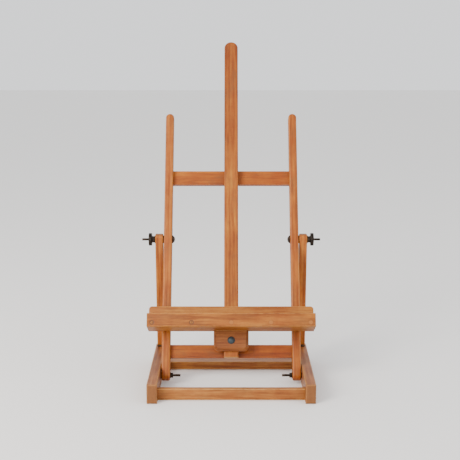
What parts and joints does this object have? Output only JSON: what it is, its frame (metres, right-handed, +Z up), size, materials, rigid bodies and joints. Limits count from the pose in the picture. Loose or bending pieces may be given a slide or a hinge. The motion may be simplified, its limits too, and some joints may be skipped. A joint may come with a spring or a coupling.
{
  "type": "table easel",
  "caption": "Wooden table easel: flat base, leaning frame held by two hinged rear struts, sliding mast with a tray and round clamp nuts.",
  "frame": {"origin": "on the floor, on the middle plane, halfway between the front ends of the base rails and the back of the mast's top", "axes": "+X to the right, +Y to the back, +Z up; the tray side faces -Y"},
  "size_m": [0.408, 0.4742, 0.7457],
  "materials": {
    "frame_wood": "aged satin varnish, honey brown",
    "bar_wood": "aged satin varnish, orange brown",
    "base_wood": "worn varnish with grey end grain",
    "tray_wood": "aged satin varnish, darker brown",
    "plug_wood": "bare pale wood",
    "black_steel": "blackened steel, satin",
    "screw_steel": "dull tarnished steel"
  },
  "bodies": {
    "base": {"left_base_rail": "base_wood", "right_base_rail": "base_wood", "front_cross_rail": "bar_wood", "rear_cross_rail": "bar_wood", "left_pivot_bolt": "black_steel", "right_pivot_bolt": "black_steel", "pivot_spacers": "black_steel", "pivot_washers": "black_steel", "pivot_nuts": "black_steel", "left_hinge_lower_leaf": "black_steel", "right_hinge_lower_leaf": "black_steel", "hinge_pins": "black_steel", "hinge_rail_screws": "screw_steel"},
    "front_frame": {"left_post": "frame_wood", "right_post": "frame_wood", "lower_crossbar": "bar_wood", "upper_crossbar": "bar_wood", "guide_stile": "frame_wood", "stile_dowels": "plug_wood"},
    "rear_struts": {"left_rear_strut": "frame_wood", "right_rear_strut": "frame_wood", "left_hinge_upper_leaf": "black_steel", "right_hinge_upper_leaf": "black_steel", "hinge_strut_screws": "screw_steel", "left_clamp_bolt": "black_steel", "right_clamp_bolt": "black_steel", "clamp_head_washers": "black_steel", "clamp_gap_washers": "black_steel", "clamp_knob_washers": "black_steel"},
    "mast": {"mast": "frame_wood", "mast_key": "plug_wood", "tray_clamp_bolt": "black_steel", "tray_knob_washer": "black_steel"},
    "tray": {"tray_bracket": "tray_wood", "tray_floor_board": "tray_wood", "tray_lip": "tray_wood", "tray_back_board": "tray_wood", "lip_screws": "screw_steel", "lip_plugs": "plug_wood", "back_board_screws": "screw_steel", "bracket_screws": "screw_steel"},
    "left_knob": {"left_knob": "black_steel"},
    "right_knob": {"right_knob": "black_steel"},
    "tray_knob": {"tray_knob": "black_steel"}
  },
  "joints": [
    {"name": "frame_tilt", "type": "hinge", "parent": "base", "child": "front_frame", "pos_m": [0, -0.11232, 0.021], "axis": [1, 0, 0], "range_deg": [-3, 18]},
    {"name": "strut_fold", "type": "hinge", "parent": "base", "child": "rear_struts", "pos_m": [0, 0.03368, 0.0442], "axis": [1, 0, 0], "range_deg": [-4, 24]},
    {"name": "mast_slide", "type": "slide", "parent": "front_frame", "child": "mast", "axis": [0, 0.4384, 0.8988], "range_m": [0, 0.25]},
    {"name": "tray_swivel", "type": "hinge", "parent": "mast", "child": "tray", "pos_m": [0, -0.08032, 0.08661], "axis": [0, -0.8988, 0.4384], "range_deg": [-3, 3]},
    {"name": "left_knob_turn", "type": "hinge", "parent": "rear_struts", "child": "left_knob", "pos_m": [-0.182, 0.02401, 0.30052], "axis": [-1, 0, 0], "range_deg": [0, 720]},
    {"name": "right_knob_turn", "type": "hinge", "parent": "rear_struts", "child": "right_knob", "pos_m": [0.182, 0.02401, 0.30052], "axis": [1, 0, 0], "range_deg": [0, 720]},
    {"name": "tray_knob_turn", "type": "hinge", "parent": "mast", "child": "tray_knob", "pos_m": [0, -0.08032, 0.08661], "axis": [0, 0.8988, -0.4384], "range_deg": [0, 720]}
  ],
  "couplings": [
    {"joint": "strut_fold", "follows": "frame_tilt", "ratio": 1.31}
  ]
}
